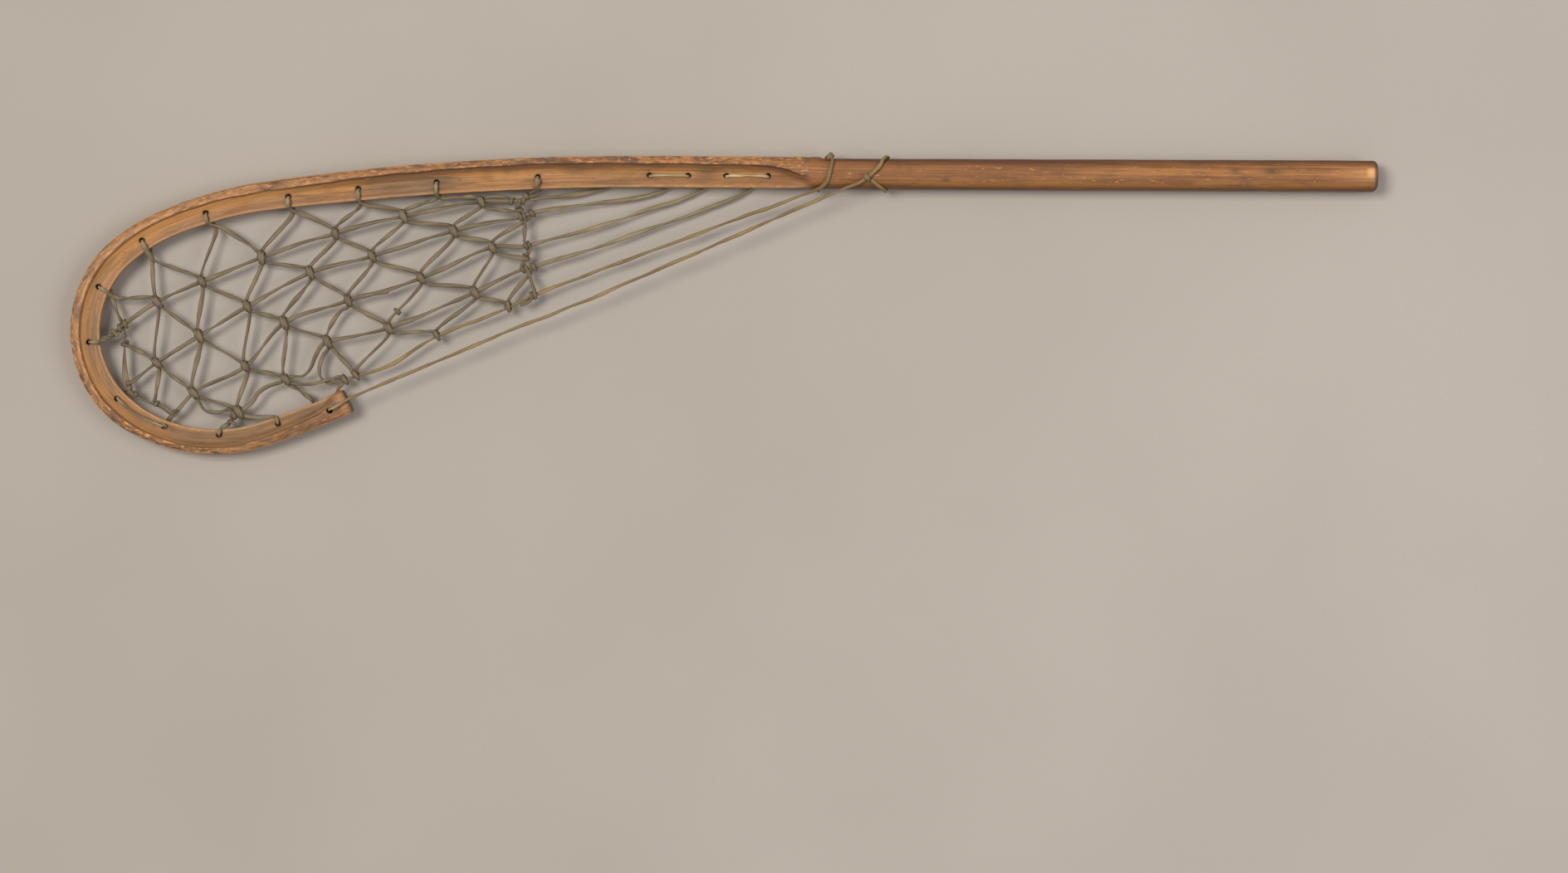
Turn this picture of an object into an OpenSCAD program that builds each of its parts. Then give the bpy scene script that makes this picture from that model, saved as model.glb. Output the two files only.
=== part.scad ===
// Traditional one-piece wooden lacrosse stick: a bent hardwood stave with a hollowed crook,
// strung with hide thongs that are laced through the crook and lashed to the shaft.
// Origin: centre of the butt end. +X out of the butt, +Y away from the net, +Z out of the face.

/* [Stave] */
// Width of the shaft across its face
shaft_w = 30; // [29:0.5:31]
// Thickness of the shaft from its back to its face
shaft_t = 24; // [23:0.5:25]
// Thickness of the crook from its back to the top of its lip
crook_t = 19; // [18:0.5:20]
// Depth of the step from the lip down to the ledge that carries the lacing
ledge_drop = 6; // [5:0.5:6.5]
// Chamfer round the butt and the tip
end_chamfer = 2.5; // [1:0.5:3]
// Width of the small notch that seats the outer lashing
notch_w = 7; // [5:0.5:8]

/* [Lacing holes] */
// Diameter of every lacing hole
hole_d = 4.6; // [4.4:0.1:5]

/* [Thongs] */
// Diameter of the lengthwise lead thongs
lead_d = 3; // [2.6:0.1:3]
// Diameter of the crosswise lacing thongs
lace_d = 2.6; // [2.2:0.1:2.6]
// Height of the net plane from the middle of the stave
net_z = -3; // [-3.5:0.5:-2.5]

/* [Hidden] */

lead_r = lead_d / 2;
lace_r = lace_d / 2;
clear = 0.3;             // air between a thong and what it passes
wrap_r = lead_r + lace_r + clear;   // a lacing thong's turn about a lead
tie_sweep = 400;         // degrees a tie goes round
wind_sweep = 460;        // degrees the end thong goes round each lead
tie_pitch = 3.5;         // advance of a tie in one turn
wood = "#b9793f";
hide = "#8d8158";
pale_hide = "#b39a63";

// ---------- stave: path ----------

// Bends from the butt to the tip, each [length, turn]. A positive turn bends towards the net.
bends = [[702, -0.2], [368, 7.9], [107, 16.3], [48, 17], [148, 84], [38, 22.8], [136, 51.9], [84, 2.2]];
stave_len = 1631;

function arc_end(p, length, turn) =
    let (h = p[2], r = length / (turn * PI / 180))
    [p[0] + r * (sin(h + turn) - sin(h)), p[1] - r * (cos(h + turn) - cos(h)), h + turn];

// [x, y, heading] at a distance s along the stave from the butt
function along(s, i = 0, p = [0, 0, 180]) =
    s <= bends[i][0] || i == len(bends) - 1
        ? arc_end(p, max(s, 0.001), bends[i][1] * max(s, 0.001) / bends[i][0])
        : along(s - bends[i][0], i + 1, arc_end(p, bends[i][0], bends[i][1]));

// A point at s along the stave, u from its middle line towards the net, and height z
function on_stave(s, u, z) =
    let (p = along(s))
    [p[0] - u * sin(p[2]), p[1] + u * cos(p[2]), z];

// ---------- stave: section ----------

w_scale = shaft_w / 30;
// Half widths on the outer side and on the net side, and the step from lip to ledge
outer_half_at = [[0, 15], [200, 15], [500, 14.2], [531, 14.2], [537, 15.8], [860, 15.4], [960, 15],
                 [1110, 13.6], [1160, 13.4], [1250, 14.3], [1400, 14], [1430, 12.5], [1600, 11.6],
                 [1631, 11]];
net_half_at = [[0, 15], [740, 15], [860, 15.4], [960, 15], [1110, 13.6], [1160, 13.4], [1250, 14.3],
               [1400, 14], [1430, 12.4], [1605, 11.6], [1625, 13.5], [1631, 13.5]];
step_at = [[0, -4], [540, -4], [550, 4.5], [561, 0.8], [580, -5.4], [607, -7], [700, -7.1],
           [850, -8.8], [950, -7.2], [1050, -4.6], [1100, -4], [1200, -4.6], [1250, -3.8],
           [1350, -4.1], [1400, -5], [1500, -6.1], [1568, -3.7], [1591, -2.2], [1608, 0.8],
           [1615, 5.9], [1622, 10]];
drop_at = [[0, 0], [549, 0], [556, 1], [1613, 1], [1624, 0]];
face_z_at = [[0, shaft_t / 2], [600, shaft_t / 2], [950, crook_t / 2], [1631, crook_t / 2 - 0.5]];
back_z_at = [[0, shaft_t / 2], [442, shaft_t / 2], [950, crook_t / 2 + 0.5], [1631, crook_t / 2]];

function outer_half(s) = w_scale * lookup(s, outer_half_at);
function net_half(s) = w_scale * lookup(s, net_half_at);
function ledge_z(s) = lookup(s, face_z_at) - ledge_drop;

// Height of a rounded side at a share q of its half width
function rounded(q, power) = pow(1 - pow(q, power), 1 / power);

// The face at u before the ledge is cut
function face_z(s, u) =
    lookup(s, face_z_at) * rounded(u < 0 ? -u / outer_half(s) : u / net_half(s), 3);

// The face at u with the ledge cut to target
function cut_z(s, u, target) =
    let (f = face_z(s, u))
    f + lookup(s, drop_at) * (min(f, target) - f);

face_shares = [1, 0.97, 0.86, 0.68];    // points over the outer rounding
back_shares = [0.93, 0.72, 0.4];        // points under each edge

// Closed outline of the section at s as [u, z] pairs, from the outer side over the face
function section(s) =
    let (o = outer_half(s), n = net_half(s), b = lookup(s, back_z_at),
         step = lookup(s, step_at), floor = ledge_z(s), cove = step + 3, rim = 0.85 * n)
    concat(
        [for (q = face_shares) [-q * o, face_z(s, -q * o)]],
        [[step - 0.8, face_z(s, step - 0.8)]],
        [[step + 1, cut_z(s, step + 1, floor + 1)]],
        [for (v = [[0, 0], [0.35, -0.6], [0.7, -0.3]])
            let (u = min(cove, rim - 1) + v[0] * (rim - min(cove, rim - 1)))
            [u, cut_z(s, u, floor + v[1])]],
        [[rim, cut_z(s, rim, floor - 0.7)], [0.97 * n, cut_z(s, 0.97 * n, floor - 2)], [n, 0]],
        [for (q = back_shares) [q * n, -b * rounded(q, 4) / rounded(0.4, 4)]],
        [for (i = [2:-1:0]) let (q = back_shares[i]) [-q * o, -b * rounded(q, 4) / rounded(0.4, 4)]]
    );

// How much the section shrinks within the end chamfers
function end_inset(s) = max(0, end_chamfer - min(s, stave_len - s));

stations = concat(
    [0, end_chamfer], [for (s = [90:88:442]) s], [500, 530, 534, 538, 544, 549, 552, 556],
    [561, 570, 580, 594, 607, 640], [for (s = [700:42:1078]) s], [for (s = [1092:10:1602]) s],
    [1608, 1612, 1616, 1620, 1624, stave_len - end_chamfer, stave_len]);

function ring(s) =
    let (k = 1 - end_inset(s) / (shaft_t / 2))
    [for (p = section(s)) on_stave(s, k * p[0], k * p[1])];

// Solid through a list of closed rings that all have the same number of points
module loft(rings) {
    n = len(rings[0]);
    last = len(rings) - 1;
    polyhedron(
        points = [for (r = rings) each r],
        faces = concat(
            [[for (k = [0:n - 1]) k]],
            [for (i = [0:last - 1], k = [0:n - 1])
                let (a = i * n + k, b = i * n + (k + 1) % n, c = a + n, d = b + n)
                each [[a, c, b], [b, c, d]]],
            [[for (k = [n - 1:-1:0]) last * n + k]]),
        convexity = 12);
}

// ---------- lacing holes ----------

lead_holes = [588, 628, 665, 702];                       // up through the throat
rail_holes = [810, 908, 984, 1052, 1134, 1202, 1266];    // along the rail
crook_holes = [1323, 1388, 1444];                        // round the end of the crook
toe_holes = [1500, 1560];
tip_hole = 1612;
hole_u_at = [[0, 3.2], [1323, 3.5], [1388, 5.2], [1444, 6], [1500, 6.4], [1560, 4.5], [1612, -1]];
function hole_u(s) = lookup(s, hole_u_at);

module bore(s) {
    translate(on_stave(s, hole_u(s), -shaft_t))
        cylinder(d = hole_d, h = 2 * shaft_t, $fn = 32);
}

module stave() {
    color(wood)
    difference() {
        loft([for (s = stations) ring(s)]);
        for (s = concat(lead_holes, rail_holes, crook_holes, toe_holes, [tip_hole])) bore(s);
        notch_cut();
    }
}

// Shallow V across the outer edge, where the outer lashing sits
module notch_cut() {
    at = on_stave(534, -outer_half(534), 0);
    translate([at[0], at[1], -shaft_t])
        linear_extrude(height = 2 * shaft_t)
            polygon([[-notch_w / 2, 2], [notch_w / 2, 2], [0.6, -1.8], [-0.6, -1.8]]);
}

// ---------- thongs ----------

function unit(v) = v / norm(v);
function flat(p, z) = [p[0], p[1], z];
function tangent(p, i) = unit(p[min(i + 1, len(p) - 1)] - p[max(i - 1, 0)]);
function square_to(v, t) = unit(v - (v * t) * t);

// Side vectors carried along a path without twist
function sides(p) =
    [for (i = 0, v = square_to([0.13, 0.21, 1], tangent(p, 0)); i < len(p);
          i = i + 1, v = i < len(p) ? square_to(v, tangent(p, i)) : v) v];

// A round thong along a path, drawn six-sided
module thong(path, r) {
    side = sides(path);
    loft([for (i = [0:len(path) - 1])
        let (t = tangent(path, i), a = side[i], b = cross(t, a))
        [for (k = [0:5]) path[i] + r * (cos(60 * k) * a + sin(60 * k) * b)]]);
}

// Points of a helix about a thong that runs through c at angle dir: phi 0 is the upper side,
// 90 the face side, 180 the lower side, 270 the back
function turn(c, dir, r, from, sweep, pitch) =
    let (steps = max(2, round(abs(sweep) / 45)))
    [for (k = [0:steps])
        let (phi = from + sweep * k / steps, d = pitch * (k / steps - 0.5) * abs(sweep) / 360)
        c + [d * cos(dir) - r * cos(phi) * sin(dir), d * sin(dir) + r * cos(phi) * cos(dir),
             r * sin(phi)]];

// The bight of a lacing row about a lead. up = 1 hangs from above, up = -1 reaches from below.
function bight(c, dir, up) =
    [for (k = [-3:3])
        let (phi = 180 + 43 * k, d = 0.8 * k, n = up * wrap_r * cos(phi))
        c + [d * cos(dir) - n * sin(dir), d * sin(dir) + n * cos(dir), up * wrap_r * sin(phi)]];

function heading(a, b) = atan2(b[1] - a[1], b[0] - a[0]);
function mix(a, b, t) = a + t * (b - a);

// Tail that ends a thong with a turn about the thong through c at angle dir
function tie_off(c, dir, r, from, sweep, pitch = tie_pitch) =
    let (t = turn(c, dir, r, from, sweep, pitch), last = t[len(t) - 1])
    concat(t, [last + 3.5 * unit(last - c) + 0.8 * sign(pitch) * [cos(dir), sin(dir), 0.5]]);

// Through a hole at s: from under the net side, up to the ledge
function rise(s, r) =
    let (n = net_half(s), u = hole_u(s), b = -lookup(s, back_z_at) - r - clear)
    [on_stave(s - 1.6, n + 1.3, b + 3.2), on_stave(s - 1.2, n - 2.5, b + 0.5),
     on_stave(s - 0.5, u + 1.6, b), on_stave(s, u, b + 1.6)];

// Over the ledge from the mouth of the hole at s, and out over its edge
function cross_ledge(s, r) =
    let (n = net_half(s), u = hole_u(s), f = ledge_z(s) + r + clear)
    [on_stave(s, u, f - 1.8), on_stave(s + 0.4, u + 1.5, f - 0.1), on_stave(s + 1, n - 2, f + 0.2),
     on_stave(s + 1.7, n + 1.9, f - 3)];

function reversed(p) = [for (i = [len(p) - 1:-1:0]) p[i]];

// A loop that hangs from the hole at s and crosses itself at the knot k
function hanging_loop(s, k, r) =
    concat([flat(k, net_z - r - 0.4)], rise(s, r), cross_ledge(s, r), [flat(k, net_z + r + 0.4)]);

// ---------- the net's knots, in the plane of the net ----------

// Each lead runs from the crook towards the throat through its knots.
lead_1 = [[-1222, -157], [-1178, -126], [-1134, -106], [-1077, -82], [-1006, -59], [-940, -42],
          [-865, -28], [-826, -26]];
lead_2 = [[-1206, -214], [-1178, -185], [-1137, -158], [-1090, -130], [-1030, -97], [-970, -81],
          [-892, -56], [-825, -42]];
lead_3 = [[-1164, -238], [-1142, -214], [-1092, -187], [-1055, -146], [-993, -124], [-923, -102],
          [-854, -72], [-820, -69.5]];
lead_4 = [[-1109, -244], [-1098, -232], [-1053, -200], [-1013, -164], [-954, -150], [-871, -115],
          [-823, -92.5]];
lead_5 = [[-1004, -209], [-985, -197], [-907, -158], [-838, -130], [-814.5, -118.5]];

// Direction of a lead at its knot i
function dir_at(lead, i) = heading(lead[max(i - 1, 0)], lead[min(i + 1, len(lead) - 1)]);
function knot(lead, i) = flat(lead[i], net_z);
function lace(lead, i, up) = bight(knot(lead, i), dir_at(lead, i), up);

// A point on a lead, d along it from its knot i
function on_lead(lead, i, d) =
    let (h = heading(lead[i], lead[i + 1])) flat(lead[i] + d * [cos(h), sin(h)], net_z);

// The edge thong runs down from lead 1, round the corner at lead 2, and across to lead 3
edge_top = tie_off(on_lead(lead_1, 0, 11), dir_at(lead_1, 0), 2 * lead_r + clear, 220, tie_sweep, -4);
edge_tail = tie_off(on_lead(lead_3, 0, 5.5), dir_at(lead_3, 0), 2 * lead_r + clear, 40, tie_sweep);
edge_corner = [-1205, -211, net_z];
edge_bow = [[-1185, -223, net_z], [-1173, -227, net_z]];

// Slack stretches that bow between two knots
slack_4_first = [[-1085, -222], [-1080, -214], [-1071, -207.5], [-1058, -203]];
slack_4_second = [[-1048, -197.2], [-1037, -196.5], [-1030, -190], [-1025, -178.5], [-1019, -168]];
slack_5 = [[-977, -195], [-948, -184], [-926, -169]];
slack_row_4 = [[-1013, -153], [-1008, -143], [-1001, -134]];
slack_row_5 = [[-1009, -203.5], [-1018, -200], [-1021, -191], [-1018, -178]];
slack_start = [[-1107, -229.5], [-1119, -232.5], [-1131, -231], [-1137, -223.5]];
lead_2_bend = [-815, -38.5, net_z];
lead_4_bend = [-812, -90, net_z];

// Knots of the rail loops: [hole, shift along the rail, reach from the wood's edge]
rail_loops = [[1266, 5, 4.2], [1202, 3, 9], [1134, -6, 4], [1052, -4, 4], [984, -2, 4], [908, 0, 3.6]];
function loop_knot(l) = on_stave(l[0] + l[1], net_half(l[0]) + l[2], net_z);
end_loop = [810, 9, 3];

// ---------- lead thongs ----------

lead_back = -shaft_t / 2 - lead_r - clear;

// From the last knot of a lead to the throat hole at s, passing behind the shaft
function behind_shaft(edge, s) =
    [flat(edge, -lookup(-edge[0], back_z_at) - lead_r - clear), on_stave(s + 1.6, hole_u(s), lead_back),
     on_stave(s, hole_u(s), lead_back + 1.6)];

// Stitch along the ledge between two throat holes, from a (nearer the net) to b
function throat_stitch(a, b) =
    let (f = ledge_z(a) + lead_r + clear)
    [on_stave(a, hole_u(a), f - 1.8), on_stave(a - 1.5, hole_u(a), f), on_stave(b + 1.5, hole_u(b), f),
     on_stave(b, hole_u(b), f - 1.8)];

// The tied end of a lead: round through its hole and a turn about itself
function tied_end(lead, s, r) =
    let (dir = heading(lead[0], lead[1]), c = flat(lead[0] + 2.5 * [cos(dir), sin(dir)], net_z),
         about = turn(c, dir, 2 * r + clear, 90, tie_sweep, 3.6))
    concat([knot(lead, 0)], rise(s, r), cross_ledge(s, r), about,
           [about[len(about) - 1] + [4 * cos(dir - 70), 4 * sin(dir - 70), 1.5]]);

module upper_lead_thong() {
    near_edge_1 = [-760, -17.5];
    near_edge_2 = [-690, -16.5];
    color(hide)
    thong(concat(
        reversed(tied_end(lead_1, crook_holes[0], lead_r)),
        [for (i = [1:7]) knot(lead_1, i)],
        behind_shaft(near_edge_1, lead_holes[3]),
        throat_stitch(lead_holes[3], lead_holes[2]),
        reversed(behind_shaft(near_edge_2, lead_holes[2])),
        [lead_2_bend],
        [for (i = [7:-1:1]) knot(lead_2, i)],
        tie_off(mix(edge_top[0], edge_corner, 0.92), heading(edge_corner, edge_top[0]),
                2 * lead_r + clear, 140, -tie_sweep, -tie_pitch)), lead_r);
}

// The lower lead first anchors itself with a stitch along the ledge at the end of the crook
module lower_lead_thong() {
    a = crook_holes[1];
    b = crook_holes[2];
    f = ledge_z(a) + lead_r + clear;
    stitch = [for (s = [a + 1.5, (a + b) / 2, b - 1.5]) on_stave(s, hole_u(s), f)];
    near_edge_3 = [-654, -16.5];
    near_edge_4 = [-608, -16.5];
    color(hide)
    thong(concat(
        reversed(tie_off(mix(edge_corner, edge_bow[0], 0.36), heading(edge_corner, edge_bow[0]),
                         2 * lead_r + clear, 220, tie_sweep)),
        rise(a, lead_r), [on_stave(a, hole_u(a), f - 1.8)], stitch, [on_stave(b, hole_u(b), f - 1.8)],
        reversed(rise(b, lead_r)),
        [knot(lead_3, 0)],
        [for (i = [1:7]) knot(lead_3, i)],
        behind_shaft(near_edge_3, lead_holes[1]),
        throat_stitch(lead_holes[1], lead_holes[0]),
        reversed(behind_shaft(near_edge_4, lead_holes[0])),
        [lead_4_bend],
        [for (i = [6:-1:3]) knot(lead_4, i)],
        [for (p = reversed(slack_4_second)) flat(p, net_z)],
        [knot(lead_4, 2)],
        [for (p = reversed(slack_4_first)) flat(p, net_z)],
        [knot(lead_4, 1)],
        tied_end(lead_4, toe_holes[0], lead_r)), lead_r);
}

// Round the shaft just outside the wood: phi 0 is the outer edge, 90 the face, 180 the net side
function round_shaft(s, phi) =
    let (e = sin(phi) < 0 ? 0.5 : 2 / 3, r = lead_r + 2 * clear,
         half = cos(phi) > 0 ? outer_half(s) : net_half(s))
    on_stave(s, -sign(cos(phi)) * (half + r) * pow(abs(cos(phi)), e),
             sign(sin(phi)) * (shaft_t / 2 + r) * pow(abs(sin(phi)), e));

// One turn of the outer lead about the shaft in the notch
notch_turns = [for (k = [0:12])
    let (phi = 170 - 30 * k, lean = 6 * (1 - cos(phi)) - 10 * max(0, sin(phi)))
    round_shaft(533.5 + lean - 4.7 * k / 12, phi)];

// The guard stretch's turn about the shaft near the throat. It starts and ends on the face, where
// its end meets it. Pairs are [angle back from the face, place along the stave].
guard_place = [[-75, 480.6], [0, 472], [90, 473], [180, 474], [215, 477], [257, 489.5]];
guard_turns = [for (k = [0:13])
    let (phi = 75 - 332 * k / 13) round_shaft(lookup(-phi, guard_place), phi)];

module outer_lead_thong() {
    face = shaft_t / 2 + lead_r + clear;
    tip_face = lookup(tip_hole, face_z_at) + lead_r + clear;
    tip_back = -lookup(tip_hole, back_z_at) - lead_r - clear;
    color(pale_hide)
    thong(concat(
        reversed(notch_turns),
        [[-560, -22.5, 3], flat([-640, -52], net_z + 2), flat([-767, -100], net_z)],
        [for (i = [4:-1:2]) knot(lead_5, i)],
        [for (p = reversed(slack_5)) flat(p, net_z)],
        [knot(lead_5, 1), flat([-992, -198.8], net_z), flat([-999, -204], net_z)],
        [on_stave(1623, net_half(1623) + 1.6, tip_back + 4),
         on_stave(1620, net_half(1620) - 3.5, tip_back + 0.2),
         on_stave(1613, 1, tip_back), on_stave(tip_hole, -1, tip_back + 1.6),
         on_stave(tip_hole, -1, tip_face - 1.8), on_stave(1613.2, -0.6, tip_face - 0.2),
         on_stave(1628, 1.6, tip_face), on_stave(1633, 2.4, tip_face - 0.6)],
        [[-838, -153.8, 9], [-767, -125, 10], [-520, -17, face + 0.5], [-497, -7.2, face + 1.2]],
        guard_turns), lead_r);
}

// ---------- lacing ----------

// The end thong winds round each lead in turn
end_winds = [lead_1[7], lead_2[7], lead_3[7], lead_4[6], lead_5[4]];
function wind(i) =
    turn(flat(end_winds[i], net_z), 8 + 3 * i, wrap_r, 40, wind_sweep, i == 0 ? -3.8 : 3.8);
// A lacing row's tie on the end thong, half way between winds i and i + 1
function end_tie(i) =
    let (a = wind(i), b = wind(i + 1), top = a[len(a) - 1], low = b[0])
    tie_off((top + low) / 2, heading(low, top), 2 * lace_r + clear, 40, tie_sweep);

module lacing_row_1() {
    color(hide)
    thong(concat(
        reversed(tie_off(on_lead(lead_1, 0, 17.2), dir_at(lead_1, 0), wrap_r, 320, -tie_sweep)),
        [for (j = [0:5]) each concat(
            hanging_loop(rail_loops[j][0], loop_knot(rail_loops[j]), lace_r),
            lace(lead_1, j + 1, 1))],
        tie_off(on_lead(lead_1, 6, 29), heading(lead_1[6], lead_1[7]), wrap_r, 320,
                -tie_sweep)), lace_r);
}

module lacing_row_2() {
    color(hide)
    thong(concat(
        reversed(tie_off(mix(edge_top[0], edge_corner, 0.24), heading(edge_corner, edge_top[0]),
                         wrap_r, 140, -tie_sweep)),
        [for (j = [1:6]) each concat(lace(lead_2, j, 1), lace(lead_1, j, -1))],
        end_tie(0)), lace_r);
}

module lacing_row_3() {
    color(hide)
    thong(concat(
        reversed(tie_off(mix(edge_bow[0], edge_bow[1], 0.5), heading(edge_bow[0], edge_bow[1]),
                         wrap_r, 320, -tie_sweep)),
        [for (j = [1:6]) each concat(lace(lead_2, j, -1), lace(lead_3, j, 1))],
        tie_off(mix(knot(lead_2, 7), lead_2_bend, 0.9), heading(knot(lead_2, 7), lead_2_bend),
                wrap_r, 220, tie_sweep)), lace_r);
}

module lacing_row_4() {
    color(hide)
    thong(concat(
        reversed(tie_off(on_lead(lead_4, 0, 9.4), dir_at(lead_4, 0), wrap_r, 40, tie_sweep, -3)),
        [for (p = slack_start) flat(p, net_z - 1.5)], lace(lead_3, 1, -1), lace(lead_4, 1, 1),
        lace(lead_3, 2, -1), lace(lead_4, 2, 1), lace(lead_3, 3, -1), lace(lead_4, 3, 1),
        [for (p = slack_row_4) flat(p, net_z - 2)], lace(lead_3, 4, -1), lace(lead_4, 4, 1),
        lace(lead_3, 5, -1), lace(lead_4, 5, 1), lace(lead_3, 6, -1), end_tie(2)), lace_r);
}

module lacing_row_5() {
    s = toe_holes[1];
    u = hole_u(s);
    n = net_half(s);
    back = -lookup(s, back_z_at) - lace_r - clear;
    tip_turn = bight([-995.5, -201.4, net_z], 36.6, 1);
    color(hide)
    thong(concat(
        lace(lead_4, 1, -1),
        [[-1088, -236.5, 0.5], on_stave(s - 5, n + 1.6, ledge_z(s) - 0.5)],
        reversed(cross_ledge(s, lace_r)),
        [on_stave(s, u, back + 1.6), on_stave(s + 1.6, u, back), on_stave(s + 20, u + 1, back),
         on_stave(s + 36, n - 3, back + 0.4), on_stave(s + 40, n + 1.6, back + 3.5)],
        [[-1031, -217.5, net_z - 2], [-1041, -210.5, net_z - 2.4]],
        lace(lead_4, 2, -1),
        [[-1030, -204.5, net_z + 2]],
        tip_turn,
        [for (p = slack_row_5) flat(p, net_z - 2)],
        lace(lead_4, 3, -1), lace(lead_5, 1, 1), lace(lead_4, 4, -1), lace(lead_5, 2, 1),
        lace(lead_4, 5, -1), lace(lead_5, 3, 1),
        tie_off(mix(knot(lead_4, 6), lead_4_bend, 0.8), heading(knot(lead_4, 6), lead_4_bend),
                wrap_r, 220, tie_sweep)), lace_r);
}

module end_thong() {
    last = turn(flat(end_winds[4], net_z), 22, wrap_r, 40, wind_sweep, -3.8);
    end = last[len(last) - 1];
    color(hide)
    thong(concat(
        reversed(hanging_loop(end_loop[0], loop_knot(end_loop), lace_r)),
        [for (i = [0:3]) each wind(i)], last,
        [end + [-5, -4, -1], end + [-11, -7, 0]]), lace_r);
}

module edge_thong() {
    color(hide)
    thong(concat(reversed(edge_top), [edge_corner], edge_bow, edge_tail), lead_r);
}

stave();
upper_lead_thong();
lower_lead_thong();
outer_lead_thong();
edge_thong();
lacing_row_1();
lacing_row_2();
lacing_row_3();
lacing_row_4();
lacing_row_5();
end_thong();
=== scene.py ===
"""Looks of a one-piece wooden lacrosse stick: a bent, hollowed stave strung with twisted hide thongs.

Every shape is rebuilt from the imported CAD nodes: the stave from slices across it, and each thong
from the rings along it. Row frame, metres: +X out of the butt, +Y away from the net, +Z out of the
hollowed face. The floor lies under the stick's back.
"""

import math
from types import SimpleNamespace

import bpy
import numpy as np
from mathutils import Matrix, Vector, noise


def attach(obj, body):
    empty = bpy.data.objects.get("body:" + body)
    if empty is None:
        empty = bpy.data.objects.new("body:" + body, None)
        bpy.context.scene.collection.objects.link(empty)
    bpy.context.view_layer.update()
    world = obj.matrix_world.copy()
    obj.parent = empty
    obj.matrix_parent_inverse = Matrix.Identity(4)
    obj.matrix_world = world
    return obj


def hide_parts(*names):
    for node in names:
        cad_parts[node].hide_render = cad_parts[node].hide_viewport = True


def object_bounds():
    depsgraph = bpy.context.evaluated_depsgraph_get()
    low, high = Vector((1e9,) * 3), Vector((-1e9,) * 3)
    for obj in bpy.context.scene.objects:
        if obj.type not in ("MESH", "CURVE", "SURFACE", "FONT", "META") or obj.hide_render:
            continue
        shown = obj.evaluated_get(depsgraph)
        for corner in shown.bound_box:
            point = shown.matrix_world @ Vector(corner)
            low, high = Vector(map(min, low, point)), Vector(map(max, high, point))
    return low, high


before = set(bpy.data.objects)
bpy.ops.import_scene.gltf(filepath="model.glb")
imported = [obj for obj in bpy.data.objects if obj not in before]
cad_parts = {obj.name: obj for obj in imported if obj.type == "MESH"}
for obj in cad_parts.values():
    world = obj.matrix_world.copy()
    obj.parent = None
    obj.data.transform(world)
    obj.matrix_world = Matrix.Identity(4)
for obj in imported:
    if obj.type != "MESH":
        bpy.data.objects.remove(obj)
cad_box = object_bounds()
MM = 0.001


# ---------- small helpers ----------


def unit(v):
    """Vectors at length 1."""
    return v / np.maximum(np.linalg.norm(v, axis=-1, keepdims=True), 1e-12)


def smoothstep(a, b, x):
    """0 up to a, 1 from b, and a smooth rise between. With a above b it falls."""
    t = np.clip((x - a) / (b - a), 0, 1)
    return t * t * (3 - 2 * t)


def bell(x, width):
    """1 at zero, fading both ways over about a width."""
    return np.exp(-((x / width) ** 2))


def blur(values, sigma):
    """Gaussian blur along the first axis, with sigma in samples. Straight ends stay where they are."""
    reach = max(1, min(int(3 * sigma), len(values) - 2))
    kernel = np.exp(-0.5 * (np.arange(-reach, reach + 1) / sigma) ** 2)
    kernel /= kernel.sum()
    v = np.asarray(values, float)
    flat = v.reshape(len(v), -1)
    head = 2 * flat[0] - flat[reach:0:-1]
    tail = 2 * flat[-1] - flat[-2 : -reach - 2 : -1]
    padded = np.vstack([head, flat, tail])
    out = np.stack([np.convolve(padded[:, k], kernel, "valid") for k in range(flat.shape[1])], axis=1)
    return out.reshape(v.shape)


def wobble(x, seed, scale):
    """Smooth noise of one variable, about -1 to 1. scale is the size of its waves."""
    return np.array([noise.noise((float(t) / scale, seed * 7.31, 0.5)) for t in np.ravel(x)]) * 1.6


def welded(node):
    """A node's points with doubles merged, and its faces."""
    mesh = node.data
    co = np.array([v.co for v in mesh.vertices], float)
    points, index = np.unique(np.round(co, 6), axis=0, return_inverse=True)
    index = index.ravel()
    faces = [[int(index[v]) for v in polygon.vertices] for polygon in mesh.polygons]
    return points, faces


def new_object(name, points, faces):
    """A smooth-shaded mesh object, linked to the scene."""
    mesh = bpy.data.meshes.new(name)
    mesh.from_pydata([tuple(p) for p in points], [], faces)
    mesh.validate()
    mesh.polygons.foreach_set("use_smooth", [True] * len(mesh.polygons))
    obj = bpy.data.objects.new(name, mesh)
    bpy.context.scene.collection.objects.link(obj)
    return obj


def set_attribute(obj, name, values):
    """Stores a number or a vector per vertex, for the material to read."""
    values = np.asarray(values, np.float32)
    kind, field = ("FLOAT", "value") if values.ndim == 1 else ("FLOAT_VECTOR", "vector")
    attribute = obj.data.attributes.new(name, kind, "POINT")
    attribute.data.foreach_set(field, values.ravel())


def tube_faces(rings, around):
    """Faces of a closed tube of rings, with an end fan on a centre point at each end."""
    i = np.arange(rings - 1)[:, None] * around
    k = np.arange(around)[None, :]
    k2 = (k + 1) % around
    quads = np.stack([i + k, i + k2, i + around + k2, i + around + k], axis=-1).reshape(-1, 4)
    first, last = rings * around, rings * around + 1
    end = (rings - 1) * around
    fans = [[first, (k + 1) % around, k] for k in range(around)]
    fans += [[last, end + k, end + (k + 1) % around] for k in range(around)]
    return [list(map(int, q)) for q in quads] + fans


# ---------- the stave, measured by slicing its CAD node ----------


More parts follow.
